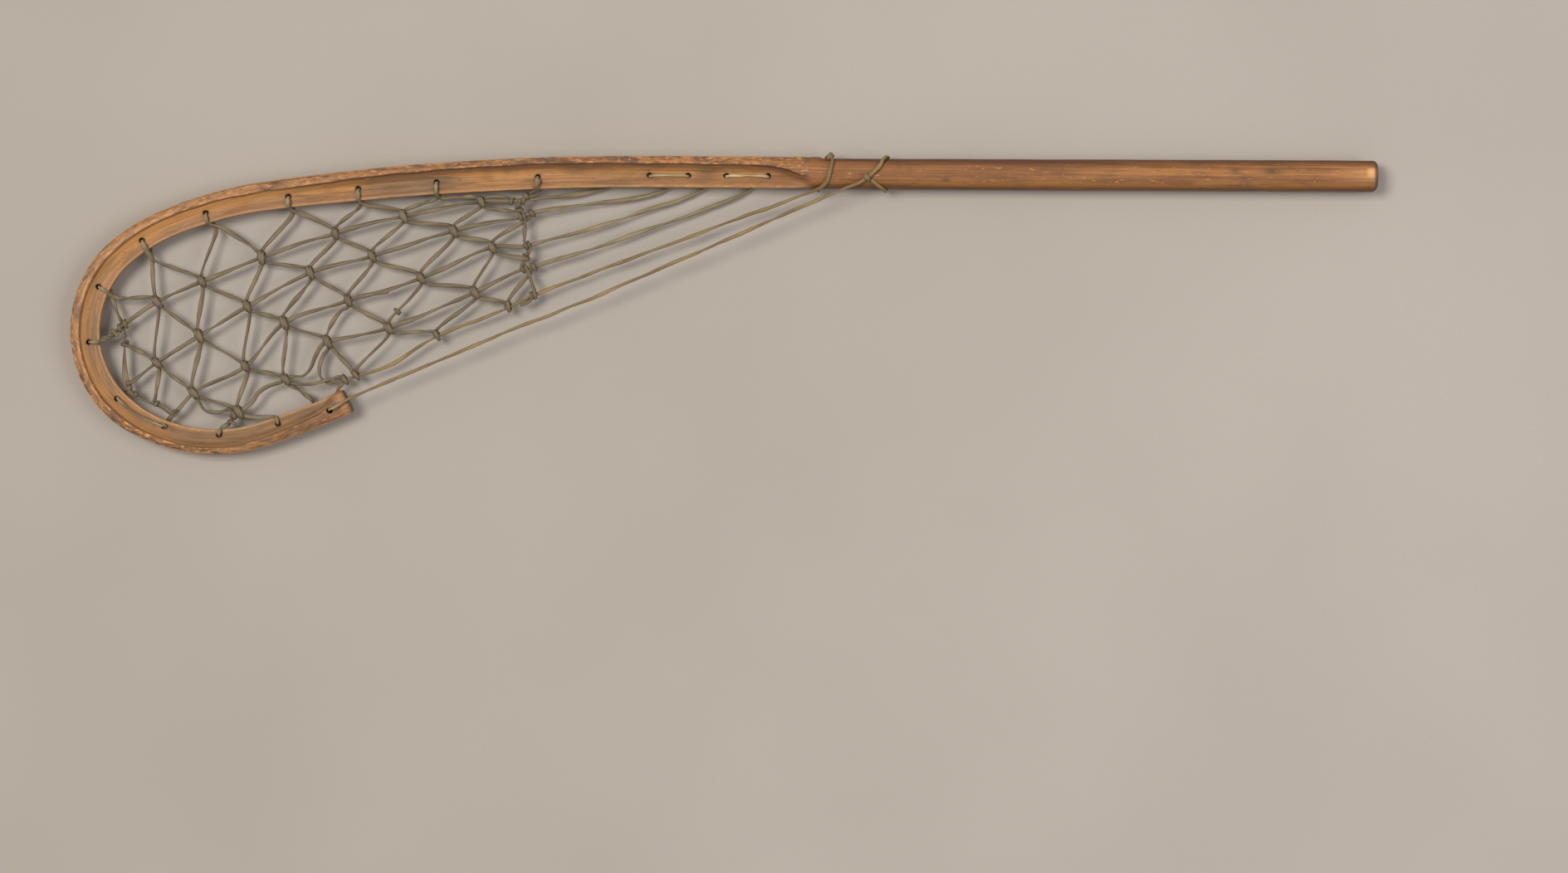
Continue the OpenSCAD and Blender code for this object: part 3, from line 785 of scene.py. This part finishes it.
def paleness(places, kind):
    """How far hide is bleached: by the holes, on the throat's stitches, and on the leads past the net."""
    s, u = path_coordinates(places)
    reach = np.min([np.linalg.norm(places[:, :2] - h, axis=1) for h in hole_places], axis=0)
    pale = 0.6 * bell(reach, 9 * MM) * smoothstep(0, 2 * MM, places[:, 2]) * (np.abs(u) < 17 * MM)
    stitch = (s > 0.58) & (s < 0.71) & (np.abs(u) < 9 * MM) & (places[:, 2] > 3 * MM)
    pale = np.where(stitch, np.where(s < 0.64, 1.6, 0.7), pale)
    if kind == "lead":
        pale = np.maximum(pale, 0.34 * smoothstep(-0.84, -0.74, places[:, 0]))
    return pale


def built_thong(name, index):
    """One thong's object, with the surface data that its material reads."""
    kind = KINDS.get(name, ("lace", "hide"))[0]
    verts, faces, fibre, data = [], [], [], []
    for part_points, part_faces, part_fibre, part_data in thong_parts(name, kind, index):
        base = len(verts)
        verts.extend(part_points)
        faces.extend([[base + v for v in face] for face in part_faces])
        fibre.append(part_fibre)
        data.append(part_data)
    thong = new_object(name.replace("_thong", "") + "_hide", verts, faces)
    set_attribute(thong, "fibre", np.vstack(fibre))
    press, crease_shade = np.vstack(data).T
    set_attribute(thong, "wear", np.stack([press, crease_shade, paleness(np.array(verts), kind)], axis=-1))
    return thong


thongs = {name: built_thong(name, index) for index, name in enumerate(thong_names)}


# ---------- materials ----------


def rgb(r, g, b):
    """Linear colour from an 8-bit screen colour."""
    c = np.array([r, g, b]) / 255
    return (*np.where(c <= 0.04045, c / 12.92, ((c + 0.055) / 1.055) ** 2.4), 1)


class Nodes:
    """Short calls that build a material's node tree."""

    def __init__(self, name):
        self.material = bpy.data.materials.new(name)
        self.material.use_nodes = True
        self.tree = self.material.node_tree
        self.shader = self.tree.nodes["Principled BSDF"]
        self.tone = None

    def make(self, kind, inputs=(), **settings):
        node = self.tree.nodes.new(kind)
        for key, value in settings.items():
            setattr(node, key, value)
        for socket, value in dict(inputs).items():
            self.put(node.inputs[socket], value)
        return node

    def put(self, socket, value):
        if isinstance(value, bpy.types.NodeSocket):
            self.tree.links.new(value, socket)
        else:
            socket.default_value = value

    def attribute(self, name):
        return self.make("ShaderNodeAttribute", attribute_name=name).outputs["Vector"]

    def split(self, vector):
        return self.make("ShaderNodeSeparateXYZ", {0: vector}).outputs[:3]

    def noise(self, vector, scale, detail, rough, warp=0):
        """Noise of a vector, with waves per metre along each of its axes."""
        scaled = self.make("ShaderNodeVectorMath", {0: vector, 1: scale}, operation="MULTIPLY").outputs[0]
        node = self.make(
            "ShaderNodeTexNoise",
            {"Vector": scaled, "Scale": 1, "Detail": detail, "Roughness": rough, "Distortion": warp},
        )
        return node.outputs["Fac"]

    def math(self, operation, a, b, clamp=False):
        return self.make("ShaderNodeMath", {0: a, 1: b}, operation=operation, use_clamp=clamp).outputs[0]

    def plus(self, a, b):
        return self.math("ADD", a, b)

    def times(self, product, *values, clamp=False):
        """Product of two or more values."""
        for value in values:
            product = self.math("MULTIPLY", product, value, clamp)
        return product

    def span(self, value, low, high, to_low=0.0, to_high=1.0):
        """A smooth step from one value to another, as an input runs from low to high."""
        node = self.make(
            "ShaderNodeMapRange",
            {"Value": value, "From Min": low, "From Max": high, "To Min": to_low, "To Max": to_high},
            interpolation_type="SMOOTHSTEP",
        )
        return node.outputs["Result"]

    def mix(self, share, a, b):
        node = self.make("ShaderNodeMix", data_type="RGBA")
        for socket, value in zip((node.inputs[0], node.inputs[6], node.inputs[7]), (share, a, b)):
            self.put(socket, value)
        return node.outputs[2]

    def paint(self, share, colour):
        """Lays a share of a screen colour over the tone so far."""
        self.tone = self.mix(share, self.tone, rgb(*colour))

    def finish(self, roughness, height, depth, strength, shine):
        """Joins the tone, the roughness and a bump of some depth to the shader. Gives the material."""
        bump = self.make("ShaderNodeBump", {"Height": height, "Distance": depth, "Strength": strength})
        names = ("Base Color", "Roughness", "Normal", "Specular IOR Level")
        for name, value in zip(names, (self.tone, roughness, bump.outputs["Normal"], shine)):
            self.put(self.shader.inputs[name], value)
        return self.material


# ---------- the stave's surface data ----------

# Stains and dark spots in millimetres: place along and across, half length, half width; then strength
STAINS = [
    (103, -3, 9, 3, 0.8), (139, -4, 5, 2.5, 0.5), (417, 6, 4, 2.5, 0.7), (305, 0, 14, 5, 0.35),
    (648, 2, 12, 7, 0.6), (770, -2, 16, 6, 0.4), (905, 4, 20, 7, 0.35), (1062, -11, 11, 3, 0.8),
    (1290, -10, 14, 4, 0.5), (1352, -12, 16, 3, 0.7), (1410, -11, 10, 3, 0.6), (1478, -8, 20, 5, 0.5),
    (1590, 2, 18, 6, 0.45),
]


def mark_stave():
    """Stores where each point of the stave lies and which zones and marks it belongs to."""
    places = np.array([v.co for v in stave.data.vertices], float)
    s, u = path_coordinates(places)
    z = places[:, 2]
    outer, net, lip, floor, step = (
        np.interp(s, path_s, v) for v in (outer_w, net_w, lip_z, floor_z, step_u)
    )
    to_tip = STAVE_LENGTH - s
    hollow = smoothstep(1.5 * MM, 3.6 * MM, lip - floor)
    hollow_face = hollow * smoothstep(0, 2.5 * MM, z)

    on_lip = hollow_face * (1 - smoothstep(step - 1.2 * MM, step + 0.6 * MM, u))
    on_ledge = hollow_face * smoothstep(step + 0.2 * MM, step + 1.6 * MM, u)
    # Mask for painted shade with dirt at the foot of the step, in the cove under the lip
    foot = hollow_face * bell(u - step - 2.0 * MM, 2.6 * MM)
    foot = foot * (1 - 0.9 * smoothstep(0.93, 1.08, s))
    set_attribute(stave, "grain", np.stack([s, u, z], axis=-1))
    set_attribute(stave, "zones", np.stack([on_lip, on_ledge, foot], axis=-1))

    outer_edge = bell(u + outer - 1.6 * MM, 2.0 * MM) * smoothstep(-2 * MM, 4 * MM, z)
    step_edge = bell(u - step + 1.1 * MM, 0.9 * MM) * smoothstep(0, 2.5 * MM, z)
    edge = hollow * (outer_edge + step_edge * (0.7 + 0.5 * smoothstep(1.0, 1.2, s)))
    rim = hollow * bell(u - net + 1.2 * MM, 1.4 * MM) * smoothstep(-1 * MM, 1.5 * MM, z)
    hole_gap = np.min([np.linalg.norm(places[:, :2] - h, axis=1) for h in hole_places], axis=0)
    # Painted shade inside the lacing holes and round their mouths
    hole_shade = bell(np.maximum(hole_gap - 2.2 * MM, 0), 0.7 * MM)
    set_attribute(stave, "marks", np.stack([np.clip(edge, 0, 1), rim, hole_shade], axis=-1))

    stain = np.zeros(len(places))
    for at_s, at_u, long, wide, strength in STAINS:
        reach = ((s - at_s * MM) / (long * MM)) ** 2 + ((u - at_u * MM) / (wide * MM)) ** 2
        stain = np.maximum(stain, strength * np.exp(-reach) * smoothstep(0, 2.5 * MM, z))
    # Painted shade: a thin dark line along the foot of the step
    step_shade_line = hollow_face * bell(u - step - 0.3 * MM, 0.6 * MM)
    step_shade_line = step_shade_line * (1 - 0.5 * smoothstep(0.95, 1.1, s))
    # Painted light: a lighter band on the ledge beside the step in the crook, easing the step's shadow
    clean = on_ledge * bell(u - step - 4.0 * MM, 3.6 * MM)
    clean = clean * smoothstep(0.98, 1.05, s) * smoothstep(1.5, 1.42, s)
    set_attribute(stave, "spots", np.stack([stain, step_shade_line, clean], axis=-1))

    # Painted shade on the rounded ends, with darker end grain
    ends = smoothstep(5.5 * MM, 3.2 * MM, s) + smoothstep(2.4 * MM, 0.8 * MM, to_tip)
    ends = np.maximum(ends, 0.55 * smoothstep(5 * MM, 3 * MM, to_tip))
    shaft = smoothstep(0.62, 0.5, s)
    out = np.abs(u) / np.where(u < 0, outer, net)
    set_attribute(stave, "ends", np.stack([ends, shaft, out], axis=-1))


# ---------- wood ----------


def wood_fields(n):
    """The stave's surface data, and the noises that several steps of its colour share."""
    grain = n.attribute("grain")
    w = SimpleNamespace(grain=grain)
    w.s, w.u, w.z = n.split(grain)
    w.lip, w.ledge, w.foot = n.split(n.attribute("zones"))
    w.edge, w.rim, w.hole = n.split(n.attribute("marks"))
    w.end, w.shaft, w.out = n.split(n.attribute("ends"))
    w.stain, w.step, w.clean = n.split(n.attribute("spots"))
    w.patches = n.noise(grain, (9, 60, 60), 3, 0.6, 0.4)
    w.streaks = n.noise(grain, (9, 620, 620), 5, 0.7, 0.2)
    w.pores = n.noise(grain, (60, 2100, 2100), 2, 0.6)
    w.dirt = n.noise(grain, (26, 85, 85), 4, 0.65, 0.8)
    w.chipped = n.noise(grain, (150, 400, 400), 4, 0.7, 0.2)
    # Chips are weaker on the toe, in the middle of the rail and on the back
    w.kept_toe = n.span(w.s, 1.46, 1.54, 1, 0.35)
    w.knocked = n.plus(n.span(w.s, 1.22, 1.36, 0.5, 1), n.span(w.s, 0.76, 0.68, 0, 0.5))
    w.knocked = n.times(w.knocked, n.span(w.z, -0.003, 0.003, 0.5, 1), w.kept_toe)
    return w


def paint_zones(n, w):
    """Bare tone of each zone, darker to lighter across the growth bands, then streaks and pores."""
    bands = n.noise(w.grain, (2.6, 150, 150), 3, 0.55, 0.4)
    ledge = n.mix(n.span(bands, 0.32, 0.68), rgb(150, 100, 52), rgb(188, 132, 70))
    lip = n.mix(n.span(bands, 0.3, 0.7), rgb(144, 96, 60), rgb(178, 127, 82))
    shaft = n.mix(n.span(bands, 0.34, 0.66), rgb(144, 92, 48), rgb(196, 134, 72))
    lip = n.mix(n.span(w.s, 0.92, 1.08, 0.15, 0.6), lip, rgb(204, 148, 92))
    lip = n.mix(n.span(w.s, 0.78, 0.66, 0, 0.6), lip, rgb(196, 130, 74))
    n.tone = n.mix(w.shaft, n.mix(w.ledge, lip, ledge), shaft)
    n.paint(n.span(w.streaks, 0.45, 0.66, 0, 0.62), (100, 62, 38))
    n.paint(n.span(w.pores, 0.52, 0.72, 0, 0.5), (76, 46, 30))


def paint_dirt_and_shade(n, w):
    """Painted shade with dirt down the sides and at the step's foot, darker towards the shaft's upper edge
    and on its lower half, and dirt in patches where hands don't rub.
    """
    # Painted shade with dirt: the rounded sides darken away from the middle, most on the shaft
    sides = n.times(n.span(w.out, 0.45, 0.98), n.plus(n.times(w.shaft, 0.62), 0.12))
    sides = n.times(sides, n.span(w.streaks, 0.2, 0.7, 0.75, 1.1), clamp=True)
    n.paint(sides, (78, 48, 34))
    n.paint(n.times(w.shaft, n.span(w.u, -0.005, -0.012, 0, 0.42)), (78, 48, 34))
    n.paint(n.times(w.shaft, n.span(w.u, 0.001, 0.006, 0, 0.45)), (100, 62, 30))
    olive = n.times(w.shaft, n.times(n.span(w.u, 0.006, 0.009), n.span(w.u, 0.0135, 0.011)))
    olive = n.times(olive, n.span(w.patches, 0.36, 0.6, 0.1, 0.7))
    n.paint(olive, (160, 106, 46))
    grime = n.times(n.span(w.dirt, 0.5, 0.76), n.span(n.plus(w.shaft, w.ledge), 0, 1, 0.25, 0.5))
    n.paint(grime, (96, 66, 44))
    # Painted shade with dirt at the step's foot
    n.paint(n.times(w.foot, n.span(w.dirt, 0.25, 0.6, 0.5, 0.85)), (92, 60, 38))


def paint_stains_and_step_shading(n, w):
    """Scratches, blotches on the ledge and the shaft, a duller toe, painted light beside the step in the
    crook, single stains and the step's painted shade line.
    """
    scratch = n.noise(w.grain, (30, 1100, 1100), 3, 0.7, 0.5)
    n.paint(n.span(scratch, 0.6, 0.7, 0, 0.6), (74, 44, 28))
    n.paint(n.span(scratch, 0.36, 0.28, 0, 0.4), (206, 146, 88))
    blotch = n.times(n.span(w.patches, 0.5, 0.6), n.times(w.ledge, 0.5))
    blotch = n.times(blotch, n.span(w.streaks, 0.3, 0.6, 0.6, 1.2))
    n.paint(blotch, (98, 76, 50))
    n.paint(n.times(w.ledge, n.span(w.s, 1.42, 1.52, 0, 0.4)), (112, 90, 60))
    n.paint(n.times(w.lip, n.span(w.s, 1.5, 1.56, 0, 0.5)), (108, 76, 52))
    # Painted light on the ledge beside the step in the crook
    n.paint(n.times(w.clean, 0.3), (214, 154, 94))
    n.paint(n.times(n.span(w.patches, 0.5, 0.72), n.times(w.shaft, 0.5)), (94, 60, 36))
    n.paint(n.times(w.stain, n.span(w.dirt, 0.25, 0.5, 0.5, 1)), (66, 50, 38))
    # Painted shade along the step's line
    n.paint(n.times(w.step, 0.6), (70, 44, 30))


def paint_worn_lip(n, w):
    """The rim shows bright wood, a thin bright line runs along the outer edge, and the lip is smudged dark
    between pale chips.
    """
    n.paint(n.times(w.rim, 0.45), (204, 156, 104))
    outline = n.times(n.span(w.out, 0.88, 0.95), n.span(w.u, 0, -0.004))
    outline = n.times(outline, n.math("SUBTRACT", 1.0, w.shaft), n.span(w.streaks, 0.3, 0.6, 0.2, 0.85))
    n.paint(outline, (222, 156, 92))
    smudge = n.noise(w.grain, (34, 130, 130), 4, 0.65, 0.5)
    smudge = n.times(n.span(smudge, 0.48, 0.64, 0, 0.72), w.lip)
    n.paint(smudge, (112, 80, 58))
    n.paint(n.times(n.span(smudge, 0.3, 0.6), 0.55), (90, 78, 70))
    n.paint(n.times(w.lip, n.span(w.chipped, 0.5, 0.36, 0, 0.5)), (112, 78, 54))
    pale_chip = n.times(w.lip, w.kept_toe, n.span(w.chipped, 0.54, 0.66, 0, 0.5))
    n.paint(pale_chip, (228, 164, 104))


def paint_chips(n, w):
    """Edges rubbed and chipped to bright wood, with dark stains between."""
    w.rubbed = n.times(n.plus(w.edge, n.times(w.rim, 0.5)), n.span(w.chipped, 0.5, 0.62), w.knocked)
    n.paint(n.times(w.rubbed, 0.8), (234, 170, 104))
    n.paint(n.times(w.edge, n.span(w.chipped, 0.45, 0.32, 0, 0.6), w.knocked), (74, 54, 46))


def paint_flecks(n, w):
    """Small bright dents and dark specks."""
    flecks = n.noise(w.grain, (150, 650, 650), 2, 0.5)
    w.fleck = n.times(n.span(flecks, 0.64, 0.71), n.span(w.patches, 0.42, 0.58))
    w.fleck = n.times(w.fleck, n.span(w.ledge, 0.2, 0.9, 1, 0.12), n.span(w.out, 0.8, 0.3))
    w.fleck = n.times(w.fleck, n.span(w.z, -0.004, 0.004, 0.3, 1))
    n.paint(n.times(w.fleck, 0.7), (228, 158, 92))
    specks = n.span(n.noise(w.grain, (110, 420, 420), 2, 0.5), 0.68, 0.76)
    n.paint(n.times(specks, 0.65), (66, 42, 32))


def paint_ends(n, w):
    """A butt worn bright, a painted highlight band near the butt, painted shade on the rounded ends with
    darker end grain, and painted shade in the holes.
    """
    worn = n.times(n.span(w.s, 0.062, 0.006), n.span(w.streaks, 0.36, 0.56), n.span(w.out, 0.66, 0.2))
    n.paint(n.times(worn, 0.52), (232, 164, 110))
    # Painted highlight: a bright band across the butt just before its rounded end
    lit = n.times(n.span(w.s, 0.014, 0.008), n.span(w.u, 0.004, -0.001), n.span(w.u, -0.0085, -0.005))
    n.paint(n.times(lit, n.span(w.streaks, 0.3, 0.5, 0.3, 0.75)), (246, 186, 122))
    # Painted shade on the rounded ends, and darker end grain
    n.paint(n.times(w.end, 0.86), (84, 64, 46))
    # Painted shade in the lacing holes
    n.paint(n.times(w.hole, 0.92), (36, 25, 19))


def wood_material():
    n = Nodes("bent_hickory")
    w = wood_fields(n)
    paint_zones(n, w)
    paint_dirt_and_shade(n, w)
    paint_stains_and_step_shading(n, w)
    paint_worn_lip(n, w)
    paint_chips(n, w)
    paint_flecks(n, w)
    paint_ends(n, w)
    height = n.plus(n.times(w.streaks, 0.4), n.times(w.pores, -0.3))
    height = n.plus(height, n.times(w.chipped, n.times(w.edge, 0.4, w.kept_toe)))
    height = n.plus(height, n.times(w.fleck, -0.4))
    rough = n.plus(n.span(w.dirt, 0.3, 0.7, 0.44, 0.6), n.times(w.rubbed, 0.12))
    return n.finish(rough, height, depth=0.35 * MM, strength=0.8, shine=0.4)


# ---------- hide and ground ----------


def hide_material(name, dark, mid, light, bleached):
    """Twisted hide with fibres along it. Painted shade darkens tight bends, knots, the groove and the
    strip's edges, and pale places are bleached.
    """
    n = Nodes(name)
    fibre = n.attribute("fibre")
    press, crease_shade, pale = n.split(n.attribute("wear"))
    patches = n.noise(fibre, (26, 90, 90), 3, 0.6, 0.4)
    strands = n.noise(fibre, (50, 1500, 900), 3, 0.6, 0.2)
    blots = n.noise(fibre, (130, 500, 500), 3, 0.6)
    n.tone = n.mix(n.span(patches, 0.34, 0.66), rgb(*mid), rgb(*light))
    n.paint(n.span(strands, 0.45, 0.7, 0, 0.6), dark)
    n.paint(n.times(n.span(patches, 0.6, 0.76), 0.6), (150, 126, 82))
    n.paint(n.times(pale, n.span(strands, 0.3, 0.62, 0.9, 0.35), clamp=True), bleached)
    # Painted shade in tight bends and knots, where strands lie in each other's shade
    n.paint(n.times(press, 0.45), dark)
    # Painted shade in the groove and at the strip's edges
    n.paint(n.times(crease_shade, 0.55, clamp=True), (56, 47, 35))
    n.paint(n.span(blots, 0.66, 0.76, 0, 0.55), (70, 60, 44))
    height = n.plus(n.times(strands, 0.7), n.times(blots, 0.3))
    rough = n.span(patches, 0.3, 0.7, 0.5, 0.66)
    return n.finish(rough, height, depth=0.25 * MM, strength=0.9, shine=0.38)


def ground_material():
    """Pale woven ground, with painted light: a little lighter under the butt than under the crook."""
    n = Nodes("pale_ground")
    place = n.make("ShaderNodeTexCoord").outputs["Object"]
    weave = n.noise(place, (900, 900, 900), 2, 0.6)
    cloud = n.span(n.noise(place, (2.2, 2.2, 2.2), 3, 0.5), 0.3, 0.7)
    left = n.mix(cloud, rgb(172, 163, 152), rgb(178, 169, 158))
    right = n.mix(cloud, rgb(184, 174, 163), rgb(190, 180, 169))
    # Painted light: the ground's colour brightens from the crook's side to the butt's side
    n.tone = n.mix(n.span(n.split(place)[0], -1.4, 0.2), left, right)
    n.paint(n.span(weave, 0.35, 0.65, 0, 0.25), (169, 160, 149))
    return n.finish(0.95, weave, depth=0.1 * MM, strength=0.3, shine=0.15)


HIDES = {
    "hide": hide_material("twisted_hide", (90, 77, 57), (118, 102, 77), (139, 122, 93), (222, 200, 150)),
    "pale_hide": hide_material(
        "golden_hide", (102, 82, 52), (138, 114, 74), (160, 136, 92), (206, 186, 140)
    ),
}

# ---------- pieces ----------

mark_stave()
stave.data.materials.append(wood_material())
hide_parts("stave")
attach(stave, "root")
for name, thong in thongs.items():
    slot = KINDS.get(name, ("lace", "hide"))[1]
    thong.data.materials.append(HIDES[slot])
    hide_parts(name)
    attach(thong, "root")

# ---------- ground, light and camera ----------

ground_z = cad_box[0][2] - 2.5 * MM
corners = [(-6, -6), (5, -6), (5, 6), (-6, 6)]
ground = new_object("ground", [(x, y, ground_z) for x, y in corners], [[0, 1, 2, 3]])
ground.data.materials.append(ground_material())


def aim(obj, place, target):
    """Puts a light or camera at a place, looking at a target, with the picture's up along +Y."""
    back = (Vector(place) - Vector(target)).normalized()
    right = Vector((0, 1, 0)).cross(back).normalized()
    up = back.cross(right)
    turn = Matrix((right, up, back)).transposed()
    obj.matrix_world = Matrix.Translation(Vector(place)) @ turn.to_4x4()


def area_light(name, place, target, width, watts, colour):
    data = bpy.data.lights.new(name, "AREA")
    data.shape, data.size, data.size_y = "RECTANGLE", width, width
    data.energy, data.color = watts, colour
    light = bpy.data.objects.new(name, data)
    bpy.context.scene.collection.objects.link(light)
    aim(light, place, target)


area_light("key", (-3.7, 1.0, 6.2), (-0.62, -0.15, 0), 2.6, 320, (1.0, 0.97, 0.93))
area_light("fill", (3.4, -0.6, 4.6), (-0.4, -0.2, 0), 3.0, 110, (0.97, 0.97, 1.0))
world = bpy.data.worlds.new("studio")
world.use_nodes = True
world.node_tree.nodes["Background"].inputs["Color"].default_value = (0.94, 0.96, 1.0, 1)
world.node_tree.nodes["Background"].inputs["Strength"].default_value = 0.36
bpy.context.scene.world = world
bpy.context.scene.view_settings.view_transform = "Standard"

# The camera looks straight down. SEEN_WIDTH is what it sees at the height of the stave's outline.
CAMERA_HEIGHT = 3.2
CAMERA_ROLL = math.radians(0.23)
OUTLINE_HEIGHT = 5 * MM
SEEN_WIDTH = 1.5112
SENSOR_WIDTH = 36
PICTURE_MIDDLE = np.array([-0.5716, -0.2535, 0])
camera_data = bpy.data.cameras.new("camera")
camera_data.sensor_width = SENSOR_WIDTH
camera_data.lens = SENSOR_WIDTH * (CAMERA_HEIGHT - OUTLINE_HEIGHT) / SEEN_WIDTH
camera_data.clip_end = 50
camera = bpy.data.objects.new("camera", camera_data)
bpy.context.scene.collection.objects.link(camera)
bpy.context.scene.camera = camera
aim(camera, PICTURE_MIDDLE + [0, 0, CAMERA_HEIGHT], PICTURE_MIDDLE)
camera.rotation_euler.rotate_axis("Z", CAMERA_ROLL)
